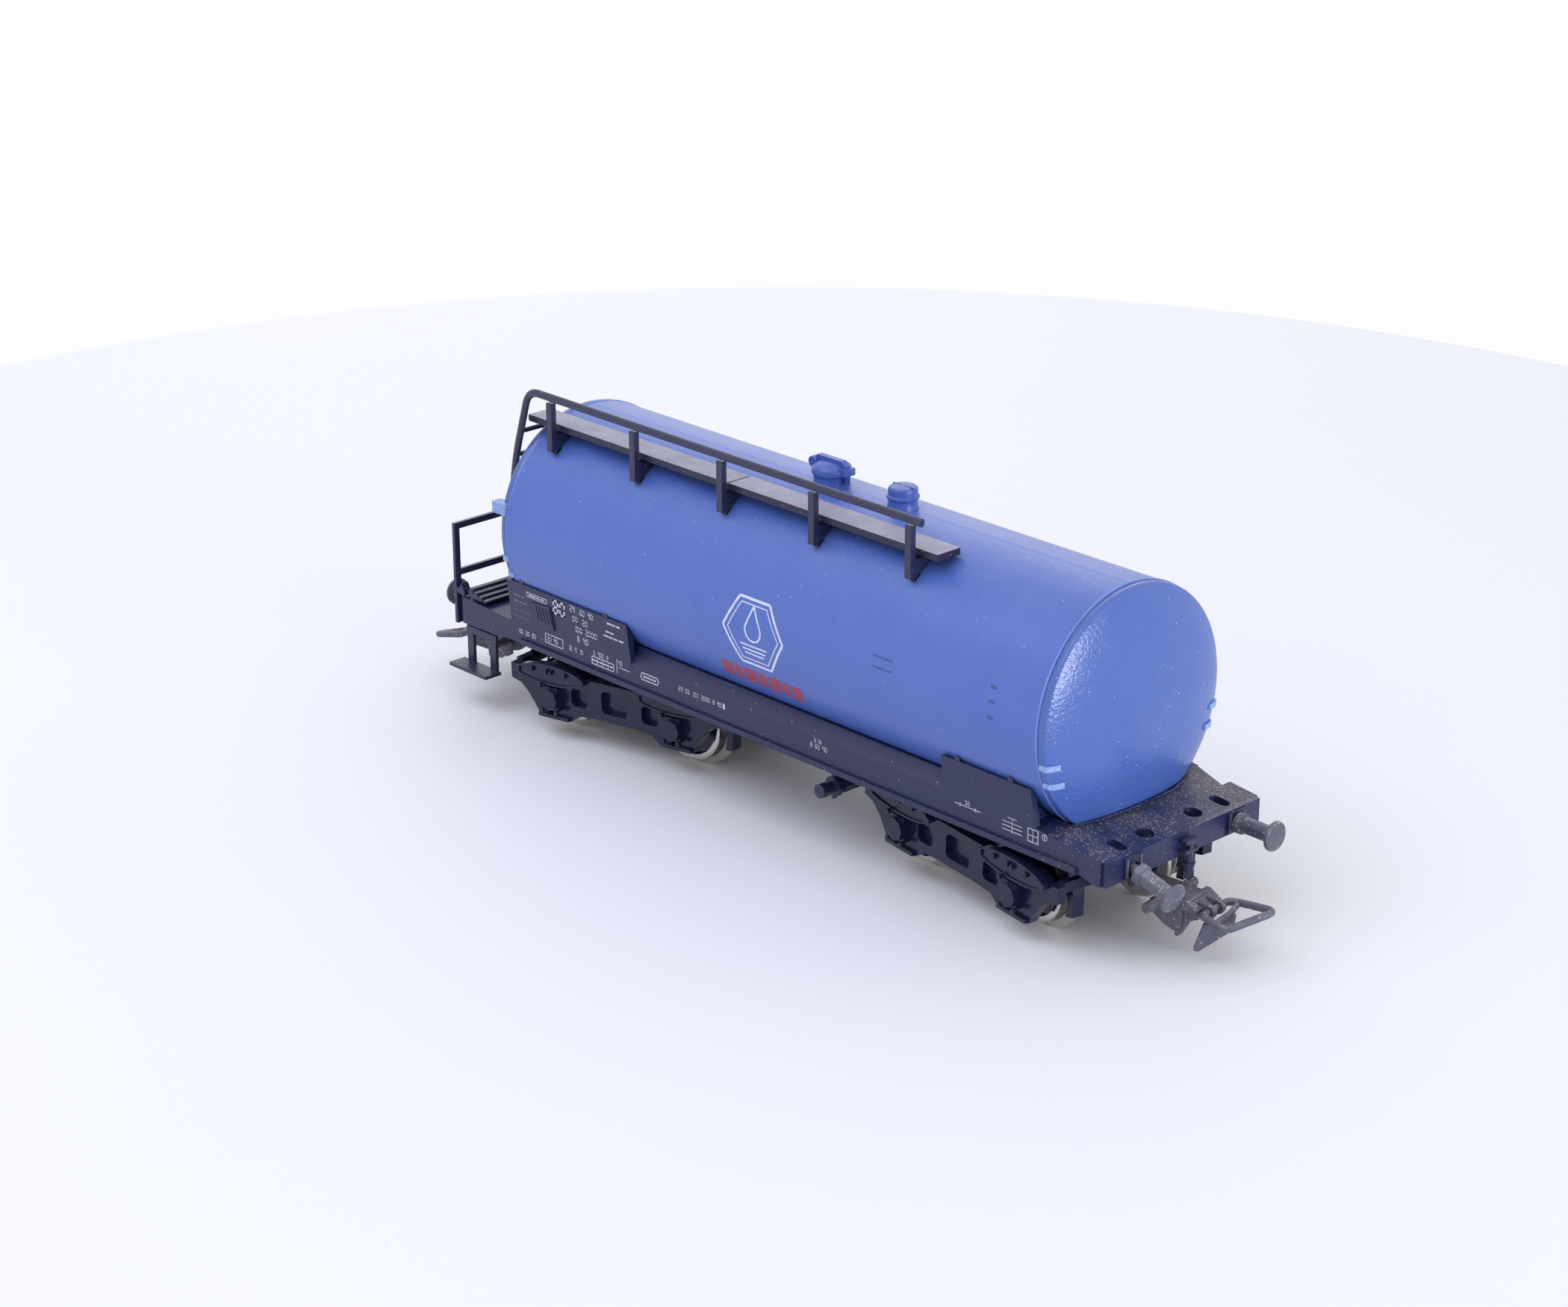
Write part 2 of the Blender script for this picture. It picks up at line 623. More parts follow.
def rail_points():
    """The handrail's line: along the walkway, round the bend and down the ladder's near side."""
    y = -POST_Y
    bend = [(2.4, 0.0), (1.4, 0.25), (0.7, 0.9), (0.3, 2.0)]
    line = [(RAIL_RIGHT_END, y, RAIL_Z)]
    line += [(TANK_LEFT + x * MM, y, RAIL_Z - drop * MM) for x, drop in bend]
    line += [(TANK_LEFT + x, y, TANK_TOP - drop) for x, drop in RAIL_KNEES]
    return line + [(line[-1][0], y, LADDER_FOOT)]


def make_handrail():
    finish("handrail", wire(rail_points(), RAIL_RADIUS), DARK, WAGON)


def ladder_x(z):
    """How far out the ladder stands at a height."""
    points = [(p[2], p[0]) for p in rail_points()[4:]]
    for (z1, x1), (z0, x0) in zip(points, points[1:]):
        if z >= z0:
            return x0 + (x1 - x0) * (z - z0) / (z1 - z0) - LADDER_STANDOFF
    return points[-1][1] - LADDER_STANDOFF


def make_ladder():
    heights = [LADDER_TOP] + [p[2] for p in rail_points()[5:]]
    stringer = wire([(ladder_x(z), -LADDER_Y, z) for z in heights], RAIL_RADIUS)
    start, end = -POST_Y + RAIL_RADIUS + GAP, -LADDER_Y
    rungs = []
    for i in range(LADDER_RUNGS):
        z = LADDER_FOOT + (i + 1) * RUNG_PITCH
        rungs.append(rod("Y", (ladder_x(z), (start + end) / 2, z), RUNG_RADIUS, end - start, 8))
    finish("end_ladder", join(stringer, *rungs), DARK, WAGON)


# Underframe.

def sill_profile():
    """Side view of the main frame: sloping end decks, level between them."""
    right = FRAME_END - HEADSTOCK_THICKNESS / 2
    left = LEFT_END + HEADSTOCK_THICKNESS / 2
    return [(left, HEADSTOCK_BOTTOM), (LEFT_END + 4.75 * MM, SILL_BOTTOM - 0.6 * MM),
            (LEFT_END + 15.25 * MM, SILL_BOTTOM), (FRAME_END - 4.6 * MM, SILL_BOTTOM),
            (FRAME_END - 1.9 * MM, HEADSTOCK_BOTTOM),
            (right, HEADSTOCK_BOTTOM), (right, RIGHT_DECK_TOP),
            (RIGHT_SADDLE[1] + SADDLE_SPLAY, SILL_TOP), (LEFT_SADDLE[0] + SADDLE_SPLAY, SILL_TOP),
            (LEFT_SADDLE[0] + SADDLE_SPLAY / 2, LEFT_DECK_ROOT), (left, LEFT_DECK_TOP)]


def saddles():
    """The plates that rise from the sills beside the tank, with slanting ends."""
    plates = []
    inner, outer = SILL_HALF_WIDTH + SADDLE_PROUD - SADDLE_THICKNESS, SILL_HALF_WIDTH + SADDLE_PROUD
    low = SILL_TOP - 1.0 * MM
    for (left, right), top, slant in ((LEFT_SADDLE, LEFT_SADDLE_TOP, SADDLE_SPLAY),
                                      (RIGHT_SADDLE, RIGHT_SADDLE_TOP, 0.3 * MM)):
        outline = [(left + slant, low), (right + SADDLE_SPLAY, low), (right, top), (left, top)]
        plates.append(plate("XZ", outline, -outer, -inner))
        plates.append(plate("XZ", outline, inner, outer))
    return plates


def wheel_wells():
    """Cutters that open the frame over each wheel, wide enough for a turned bogie."""
    wells = []
    for pivot in (LEFT_PIVOT, RIGHT_PIVOT):
        for side in (-1, 1):
            x = pivot + side * BOX_X
            for across in (-1, 1):
                inner, outer = WELL_INNER, SILL_HALF_WIDTH - SILL_THICKNESS
                low, high = sorted((across * inner, across * outer))
                wells.append(box((x - WELL_HALF_LENGTH, low, 8 * MM),
                                 (x + WELL_HALF_LENGTH, high, WELL_TOP)))
    return wells


def shoulder_band():
    """The slanting band between each sill's top edge and the tank."""
    skirt = SILL_HALF_WIDTH - 0.05 * MM
    low = SILL_TOP - 0.6 * MM
    outline = [(-skirt, low), (skirt, low), (skirt, SILL_TOP), (SHOULDER_HALF_WIDTH, SHOULDER_TOP),
               (-SHOULDER_HALF_WIDTH, SHOULDER_TOP), (-skirt, SILL_TOP)]
    return plate("YZ", outline, LEFT_SADDLE[0] + 2.13 * MM, RIGHT_SADDLE[1] - 0.5 * MM)


def headstocks():
    right = box((FRAME_END - HEADSTOCK_THICKNESS, -HEADSTOCK_HALF_WIDTH, HEADSTOCK_BOTTOM),
                (FRAME_END, HEADSTOCK_HALF_WIDTH, RIGHT_DECK_TOP))
    left = box((LEFT_END, -HEADSTOCK_HALF_WIDTH, HEADSTOCK_BOTTOM - 0.1 * MM),
               (LEFT_END + HEADSTOCK_THICKNESS, HEADSTOCK_HALF_WIDTH, LEFT_DECK_TOP + 0.05 * MM))
    return right, left


def deck_notch():
    """The far side of the right deck narrows beside the tank end."""
    left, right = DECK_NOTCH
    edge = SILL_HALF_WIDTH
    outline = [(left, edge - 0.2 * MM), (right, edge - DECK_NOTCH_DEPTH), (right, edge + MM),
               (left, edge + MM)]
    return plate("XY", outline, SILL_BOTTOM + 1.9 * MM, SILL_TOP + MM)


def make_underframe():
    half = SILL_HALF_WIDTH
    body = cut(plate("XZ", sill_profile(), -half, half), deck_notch())
    cradle = rod("X", (TANK_MIDDLE, 0, TANK_HEIGHT), CRADLE_RADIUS + CRADLE_WALL,
                 TANK_LENGTH - 2 * MM, TANK_STEPS)
    cradle = keep(cradle, box((-FRAME_END, -half, 0), (FRAME_END, half, SILL_TOP - 0.2 * MM)))
    lip = keep(tank_form(CRADLE_CLEARANCE + DECK_LIP),
               box((RIGHT_SADDLE[1] + SADDLE_SPLAY + 0.3 * MM, -half, SILL_BOTTOM + MM),
                   (FRAME_END, half, DECK_LIP_TOP)))
    frame = join(body, shoulder_band(), cradle, lip, *saddles())
    frame = bake(cut(frame, tank_form(CRADLE_CLEARANCE)), WELD)
    frame = cut(frame, *underside_hollows())
    frame = join(frame, *headstocks(), *sill_flanges(), *buffer_pads(), *pivot_bosses())
    frame = cut(frame, *wheel_wells())
    frame = cut(frame, *deck_holes(), *frame_pin_holes())
    finish("underframe", frame, DARK, WAGON)


def underside_hollows():
    """Everything under the deck and between the sills that the frame leaves open."""
    inner = SILL_HALF_WIDTH - SILL_THICKNESS
    ledge = SILL_TOP - DECK_THICKNESS
    hollows = [box((TANK_RIGHT - 1.5 * MM, -inner, 8 * MM),
                   (FRAME_END - HEADSTOCK_THICKNESS, inner, RIGHT_DECK_TOP - DECK_THICKNESS)),
               box((LEFT_END + HEADSTOCK_THICKNESS, -inner, 8 * MM),
                   (TANK_LEFT + 1.5 * MM, inner, LEFT_DECK_ROOT - DECK_THICKNESS))]
    ribs = (LEFT_PIVOT, PIVOT_MIDDLE, RIGHT_PIVOT)
    rib = 1.5 * MM
    edges = [TANK_LEFT + 3 * MM]
    for x in ribs:
        edges += [x - rib, x + rib]
    edges.append(TANK_RIGHT - 3 * MM)
    for left, right in zip(edges[::2], edges[1::2]):
        for low, high in ((-inner, -8.6 * MM), (8.6 * MM, inner)):
            hollows.append(box((left, low, 8 * MM), (right, high, ledge - 0.2 * MM)))
    return hollows


def sill_flanges():
    """The lip along each sill's lower edge."""
    start, end = -FRAME_END + 15 * MM, FRAME_END - 4.6 * MM
    inner, outer = SILL_HALF_WIDTH - 0.5 * MM, SILL_HALF_WIDTH + FLANGE_LIP
    lips = []
    for low, high in ((-outer, -inner), (inner, outer)):
        lips.append(box((start, low, SILL_BOTTOM - 0.1 * MM),
                        (end, high, SILL_BOTTOM + FLANGE_LIP_HEIGHT)))
    return lips


def buffer_pads():
    """Square pads on the headstocks round each buffer's root."""
    half = 1.7 * MM
    pads = []
    for side in (-1, 1):
        root = FRAME_END - 0.5 * MM if side > 0 else -LEFT_END - 0.5 * MM
        x0, x1 = sorted((side * root, side * (FRAME_END + BUFFER_PAD)))
        for y in (-BUFFER_Y, BUFFER_Y):
            pads.append(box((x0, y - half, HEADSTOCK_BOTTOM + 0.2 * MM),
                            (x1, y + half, RIGHT_DECK_TOP - 0.2 * MM)))
    return pads


def pivot_bosses():
    """Bearing pads over the bogies."""
    top = TANK_HEIGHT - CRADLE_RADIUS - 0.1 * MM
    return [rod("Z", (x, 0, (BOSS_BOTTOM + top) / 2), BOSS_RADIUS, top - BOSS_BOTTOM, 20)
            for x in (LEFT_PIVOT, RIGHT_PIVOT)]


def deck_holes():
    x = FRAME_END - DECK_HOLE_INSET
    low, high = 10 * MM, 20 * MM
    holes = [rod("Z", (x, y, (low + high) / 2), DECK_HOLE_RADIUS, high - low, 16)
             for y in (-DECK_HOLE_Y, DECK_HOLE_Y)]
    for y in (-DECK_SLOT_Y, DECK_SLOT_Y):
        width, length = DECK_SLOT
        outline = rounded_box((x - length / 2, y - width / 2), (x + length / 2, y + width / 2),
                              width * 0.45)
        holes.append(plate("XY", outline, low, high))
    return holes


def buffer_place(word, end):
    """Where a buffer's root stands and how it is turned; one hangs loose."""
    side = 1 if end == "right" else -1
    across = -BUFFER_Y if word == "near" else BUFFER_Y
    if (end, word) == ("right", "near"):
        place = Matrix.Translation((FRAME_END + LOOSE_BUFFER_SHIFT, across,
                                    BUFFER_HEIGHT - LOOSE_BUFFER_DROP))
        return place @ Matrix.Rotation(LOOSE_BUFFER_DROOP, 4, "Y")
    turn = Matrix.Identity(4) if side > 0 else Matrix.Diagonal((-1, -1, 1, 1))
    return Matrix.Translation((side * FRAME_END, across, BUFFER_HEIGHT)) @ turn


def frame_pin_holes():
    """Holes for the buffer spigots and the bogie pivots."""
    holes = []
    for end in ("left", "right"):
        for word in ("near", "far"):
            hole = rod("X", (0, 0, 0), BUFFER_SPIGOT_RADIUS + GAP, 6 * MM, 12)
            hole.data.transform(buffer_place(word, end))
            holes.append(hole)
    for x in (LEFT_PIVOT, RIGHT_PIVOT):
        holes.append(rod("Z", (x, 0, BOSS_BOTTOM), PIVOT_PIN_RADIUS + GAP, 2.4 * MM, 12))
    return holes


# Platform end.

def plank_top(i):
    return PLATFORM_TOP - i * PLATFORM_FALL


def make_platform():
    """Four planks that step down toward the tank, on two side walls."""
    left, right = PLATFORM
    pitch = (right - left) / PLANKS
    half = SILL_HALF_WIDTH - 0.2 * MM
    floor = LEFT_DECK_TOP + GAP
    outline = [(right, floor), (right, plank_top(PLANKS - 1))]
    for i in reversed(range(PLANKS)):
        x = left + i * pitch
        low = plank_top(i) - PLATFORM_THICKNESS / 2
        outline += [(x + PLANK_GROOVE, plank_top(i)), (x + PLANK_GROOVE, low), (x, low)]
        if i:
            outline += [(x, plank_top(i - 1))]
    outline += [(left, floor)]
    deck = plate("XZ", outline, -half, half)
    wall = 0.9 * MM
    hollow = [(left + wall, floor - MM), (right + MM, floor - MM),
              (right + MM, plank_top(PLANKS - 1) - PLATFORM_THICKNESS),
              (left + wall, plank_top(PLANKS - 1) - PLATFORM_THICKNESS)]
    finish("end_platform", cut(deck, plate("XZ", hollow, wall - half, half - wall)), DARK, WAGON)


def make_railing():
    """A portal of flat bars standing against the outside of the headstock."""
    bar = RAILING_BAR
    x1 = LEFT_END - GAP
    x0 = x1 - RAILING_THICKNESS
    outer = RAILING_Y + bar / 2
    inner = RAILING_Y - bar / 2
    outline = [(-outer, RAILING_BOTTOM), (-inner, RAILING_BOTTOM), (-inner, RAILING_MIDDLE - bar),
               (inner, RAILING_MIDDLE - bar), (inner, RAILING_BOTTOM), (outer, RAILING_BOTTOM),
               (outer, RAILING_TOP), (-outer, RAILING_TOP)]
    window = [(-inner, RAILING_MIDDLE), (inner, RAILING_MIDDLE), (inner, RAILING_TOP - bar),
              (-inner, RAILING_TOP - bar)]
    railing = plate("YZ", outline, x0, x1, [window])
    low = LEFT_DECK_TOP + GAP
    bracket = [(x0 - 0.4 * MM, low + 0.2 * MM), (LEFT_END + 1.4 * MM, low),
               (LEFT_END + 1.4 * MM, low + 0.5 * MM), (LEFT_END + 0.7 * MM, low + 1.8 * MM),
               (LEFT_END + 0.2 * MM, low + 0.9 * MM), (x0 - 0.4 * MM, low + 1.0 * MM)]
    arms = [plate("XZ", bracket, *sorted((side * (RAILING_Y - 0.9 * MM), side * (outer - 0.05 * MM))))
            for side in (-1, 1)]
    finish("end_railing", join(railing, *arms), DARK, WAGON)


def make_step(name, side):
    left, right = STEP
    leg = 0.5 * MM
    tread = box((left, STEP_LEG_Y, STEP_TREAD_Z - 0.5 * MM), (right, STEP_OUTER, STEP_TREAD_Z))
    bar_top = HEADSTOCK_BOTTOM - GAP
    bar = box((left + 1.2 * MM, STEP_LEG_Y, bar_top - 1.1 * MM),
              (right - 0.4 * MM, STEP_LEG_Y + leg, bar_top))
    legs = [box((x - 0.7 * MM, STEP_LEG_Y, STEP_TREAD_Z - 0.3 * MM),
                (x + 0.7 * MM, STEP_LEG_Y + leg, bar_top - 0.2 * MM))
            for x in (left + 2.1 * MM, right - 1.2 * MM)]
    step = join(tread, bar, *legs)
    if side < 0:
        flipped = mirrored(step, "Y")
        bpy.data.objects.remove(step, do_unlink=True)
        step = flipped
    finish(name, step, DARK, WAGON)


# Buffers.

def buffer_solid():
    """A buffer along +X from its seat on the headstock, spigot included."""
    start = BUFFER_PAD + GAP
    end = BUFFER_LENGTH
    collar = 1.35 * MM
    return turned("X", (0, 0, 0), [
        (0.0, end), (BUFFER_HEAD_RADIUS - 0.25 * MM, end), (BUFFER_HEAD_RADIUS, end - 0.25 * MM),
        (BUFFER_HEAD_RADIUS, end - 0.6 * MM), (BUFFER_SHANK_RADIUS, end - 0.95 * MM),
        (BUFFER_SHANK_RADIUS, start + 0.9 * MM), (collar, start + 0.8 * MM), (collar, start),
        (BUFFER_SPIGOT_RADIUS, start), (BUFFER_SPIGOT_RADIUS, start - 1.6 * MM),
        (0.0, start - 1.6 * MM)], 12)


def make_buffers():
    for end in ("left", "right"):
        for word in ("near", "far"):
            piece = finish(f"buffer_{end}_{word}", buffer_solid(), DARK, WAGON)
            piece.matrix_local = buffer_place(word, end)


# Bogies.

def side_outline():
    """The outline of a bogie side frame without its springs' arches."""
    end, keep_half = SIDE_HALF_LENGTH, KEEP_HALF_LENGTH
    right = [(3.5 * MM, SIDE_MIDDLE_BOTTOM), (BOX_X - keep_half - 1.8 * MM, SIDE_MIDDLE_BOTTOM - 0.2 * MM),
             (BOX_X - keep_half, KEEP_BOTTOM), (BOX_X + keep_half, KEEP_BOTTOM),
             (BOX_X + keep_half + 0.5 * MM, KEEP_BOTTOM + 1.0 * MM), (end - 3.2 * MM, 6.4 * MM),
             (end - 1.8 * MM, SIDE_END_BOTTOM - 0.5 * MM), (end, SIDE_END_BOTTOM), (end, SIDE_TOP),
             (end - 1.6 * MM, SIDE_TOP), (end - 1.8 * MM, SPRING_END_Z)]
    right += arc((BOX_X, SPRING_END_Z), SPRING_HALF - 0.6 * MM, 0, 180, 4,
                 squeeze=(SPRING_RISE - 0.3 * MM) / (SPRING_HALF - 0.6 * MM))
    right.append((4.6 * MM, SIDE_TOP))
    return right + [(-x, z) for x, z in reversed(right)]


def spring(x, outer):
    """A leaf spring: two bowed leaves that meet at their eyes."""
    steps = 4

    def lens(inset):
        half, centre = SPRING_HALF - 2 * inset, (x, SPRING_END_Z - SPRING_SEAT)
        upper = arc(centre, half, 0, 180, steps, squeeze=(SPRING_RISE - inset) / half)
        lower = arc(centre, half, 180, 360, steps, squeeze=(SPRING_SAG - inset) / half)
        return upper + lower[1:-1]

    return plate("XZ", lens(0.0), outer - SPRING_DEPTH, outer + 0.4 * MM, [lens(SPRING_LEAF)])


def axlebox(x, outer):
    """An axlebox that stands out from the side frame, with an eight-sided cover."""
    z = AXLE_HEIGHT
    block = box((x - BOX_HALF_WIDTH, outer - BOX_DEPTH, z - 1.7 * MM),
                (x + BOX_HALF_WIDTH, outer + 0.4 * MM, z + 1.8 * MM))
    cover = rod("Y", (x, outer - BOX_COVER_DEPTH / 2 + 0.2 * MM, z), BOX_COVER_RADIUS,
                BOX_COVER_DEPTH + 0.4 * MM, 8)
    bar = box((x - KEEP_HALF_LENGTH + 0.1 * MM, outer - 0.5 * MM, KEEP_BOTTOM + 0.1 * MM),
              (x + KEEP_HALF_LENGTH - 0.1 * MM, outer + 0.4 * MM, KEEP_BOTTOM + 0.65 * MM))
    return [block, cover, bar]


def side_pockets(outer):
    """Blind hollows in the side frame's face."""
    spans = ((-2.35 * MM, 2.35 * MM, 9.4 * MM), (5.1 * MM, 8.1 * MM, 8.7 * MM),
             (-8.1 * MM, -5.1 * MM, 8.7 * MM))
    return [plate("XZ", rounded_box((left, POCKET_BOTTOM), (right, top), 0.5 * MM, 1),
                  outer - MM, outer + POCKET_DEPTH) for left, right, top in spans]


def keep_window(x):
    """The small three-cornered opening between an axlebox and its keep bar."""
    low = KEEP_BOTTOM + 0.72 * MM
    return [(x - 1.5 * MM, low), (x + 0.2 * MM, low), (x + 0.3 * MM, low + 0.45 * MM),
            (x - 1.0 * MM, low + 0.75 * MM)]


def bogie_side(lean):
    """The near side frame; it leans down toward the bogie's outer end."""
    outer, inner = -SIDE_OUTER, -SIDE_OUTER + SIDE_THICKNESS
    frame = plate("XZ", side_outline(), outer, inner, [keep_window(-BOX_X), keep_window(BOX_X)])
    for x in (-BOX_X, BOX_X):
        frame = join(frame, spring(x, outer), *axlebox(x, outer))
    frame = cut(frame, *side_pockets(outer))
    pivot = Vector((0, 0, AXLE_HEIGHT))
    frame.data.transform(Matrix.Translation(pivot) @ Matrix.Rotation(lean, 4, "Y")
                         @ Matrix.Translation(-pivot))
    bearings = [rod("Y", (x, inner - 0.25 * MM, AXLE_HEIGHT), BEARING_RADIUS, 2.1 * MM, 8)
                for x in (-BOX_X, BOX_X)]
    return cut(frame, *bearings)


def brake_shoe(side, across):
    """A brake shoe hanging from the end beam in front of a wheel."""
    tread = BACK_TO_BACK / 2 + 1.3 * MM
    low, high = sorted((across * tread, across * (tread + 1.9 * MM)))
    radius = FLANGE_RADIUS + SHOE_GAP
    outline = arc((BOX_X, AXLE_HEIGHT), radius, -18, 30, 3)
    outline += arc((BOX_X, AXLE_HEIGHT), radius + SHOE_THICKNESS, 32, -14, 2)
    if side < 0:
        outline = [(-x, z) for x, z in reversed(outline)]
    return plate("XZ", outline, low, high)


def bogie_solid(side):
    """A bogie frame about its pivot; the drawbar points to the side given."""
    near = bogie_side(side * SIDE_LEAN)
    far = mirrored(near, "Y")
    inner = SIDE_OUTER - SIDE_THICKNESS + 0.4 * MM
    half = BOLSTER_WIDTH / 2
    bolster = box((-half, -inner, BOLSTER_BOTTOM), (half, inner, BOLSTER_TOP))
    beam = FLANGE_RADIUS + BOX_X + SHOE_GAP
    beams = [box((min(s * beam, s * (beam + END_BEAM)), -inner, DRAWBAR_TOP - DRAWBAR_THICKNESS + 0.05 * MM),
                 (max(s * beam, s * (beam + END_BEAM)), inner, SIDE_TOP - 0.4 * MM)) for s in (-1, 1)]
    shoes = [brake_shoe(s, across) for s in (-1, 1) for across in (-1, 1)]
    reach = drawbar_reach(side)
    x0, x1 = sorted((side * (beam + 0.2 * MM), side * reach))
    tongue = box((x0, -DRAWBAR_WIDTH / 2, DRAWBAR_TOP - DRAWBAR_THICKNESS),
                 (x1, DRAWBAR_WIDTH / 2, DRAWBAR_TOP))
    tip = rod("Z", (side * reach, 0, DRAWBAR_TOP - DRAWBAR_THICKNESS / 2), DRAWBAR_WIDTH / 2,
              DRAWBAR_THICKNESS, 12)
    frame = join(near, far, bolster, *beams, *shoes, tongue, tip)
    pivot = rod("Z", (0, 0, BOLSTER_TOP), PIVOT_PIN_RADIUS + GAP, 8 * MM, 12)
    eye = rod("Z", (side * reach, 0, DRAWBAR_TOP), COUPLER_PIN_RADIUS + GAP, 6 * MM, 12)
    return cut(frame, pivot, eye)


def drawbar_reach(side):
    """Distance from a bogie's pivot to its coupler's pivot."""
    pivot = RIGHT_PIVOT if side > 0 else LEFT_PIVOT
    return COUPLER_PIVOT_X - side * pivot


def make_bogie(word, side, pivot, turn, first_axle):
    carrier = make_empty(f"bogie_{word}", (pivot, 0, 0), turn, WAGON)
    finish(f"bogie_frame_{word}", bogie_solid(side), DARK, carrier)
    for i, x in enumerate((-BOX_X, BOX_X)):
        make_wheelset(first_axle + i, x, carrier)
    make_coupler(word, side, carrier)
    pin_low = BOLSTER_BOTTOM - GAP - PIVOT_HEAD
    pin_top = BOSS_BOTTOM + 1.2 * MM - GAP
    pin = turned("Z", (0, 0, 0), [(0.0, pin_top), (PIVOT_PIN_RADIUS, pin_top),
                                  (PIVOT_PIN_RADIUS, pin_low + PIVOT_HEAD),
                                  (PIVOT_HEAD_RADIUS, pin_low + PIVOT_HEAD),
                                  (PIVOT_HEAD_RADIUS, pin_low + 0.2 * MM),
                                  (PIVOT_HEAD_RADIUS - 0.3 * MM, pin_low), (0.0, pin_low)], 16)
    screw = finish(f"bogie_pivot_{word}", pin, STEEL, WAGON)
    screw.location = (pivot, 0, 0)


def make_wheelset(number, x, carrier):
    centre = (x, 0.0, AXLE_HEIGHT)
    half = AXLE_LENGTH / 2
    axle = turned("Y", centre, [
        (0.0, half), (AXLE_TIP_RADIUS, half), (AXLE_RADIUS, half - AXLE_TIP),
        (AXLE_RADIUS, -half + AXLE_TIP), (AXLE_TIP_RADIUS, -half), (0.0, -half)], 12)
    finish(f"axle_{number}", axle, STEEL, carrier, origin=centre)
    for word, side in (("near", -1), ("far", 1)):
        wheel = turned("Y", centre, wheel_profile(), WHEEL_STEPS)
        if side < 0:
            wheel.data.transform(Matrix.Diagonal((1, -1, 1, 1)))
            wheel.data.flip_normals()
        finish(f"wheel_{number}_{word}", wheel, NICKEL, carrier, origin=centre)


def wheel_profile():
    """The far wheel's section: its flange faces the middle, its bore clears the axle."""
    back = BACK_TO_BACK / 2
    face = back + WHEEL_WIDTH
    bore = AXLE_RADIUS + 0.05 * MM
    rim = TREAD_RADIUS - 1.0 * MM
    return [(bore, face - 0.2 * MM), (HUB_RADIUS, face - 0.2 * MM), (HUB_RADIUS + 0.3 * MM, face - 0.9 * MM),
            (rim, face - 0.9 * MM), (rim, face), (TREAD_RADIUS - TREAD_CONE, face),
            (TREAD_RADIUS, back + FLANGE_WIDTH), (FLANGE_RADIUS, back + 0.3 * MM),
            (FLANGE_RADIUS - 0.2 * MM, back), (bore, back), (bore, face - 0.2 * MM)]


# Couplers.

def make_coupler(word, side, carrier):
    turn = RIGHT_COUPLER_TURN if side > 0 else math.pi + LEFT_COUPLER_TURN
    pivot = make_empty(f"coupler_{word}", (side * drawbar_reach(side), 0, 0), turn, carrier)
    finish(f"coupler_head_{word}", coupler_head(), COUPLER, pivot)
    finish(f"coupler_pin_{word}", coupler_pin(), STEEL, pivot)
    droop = 0.0 if side > 0 else LEFT_LOOP_DROOP
    origin = (COUPLER_HINGE_X - COUPLER_PIVOT_X, 0.0, COUPLER_HINGE_Z)
    finish(f"coupler_loop_{word}", coupler_loop(), COUPLER, pivot, origin=origin, turn=(0, droop, 0))


def coupler_pin():
    """The headed pin that a coupler swings on."""
    top = DRAWBAR_TOP + GAP
    low = DRAWBAR_TOP - DRAWBAR_THICKNESS - 1.6 * MM
    head = 1.2 * MM
    return turned("Z", (0, 0, 0), [(0.0, top + 0.6 * MM), (head - 0.2 * MM, top + 0.6 * MM),
                                   (head, top + 0.4 * MM), (head, top), (COUPLER_PIN_RADIUS, top),
                                   (COUPLER_PIN_RADIUS, low), (0.0, low)], 12)


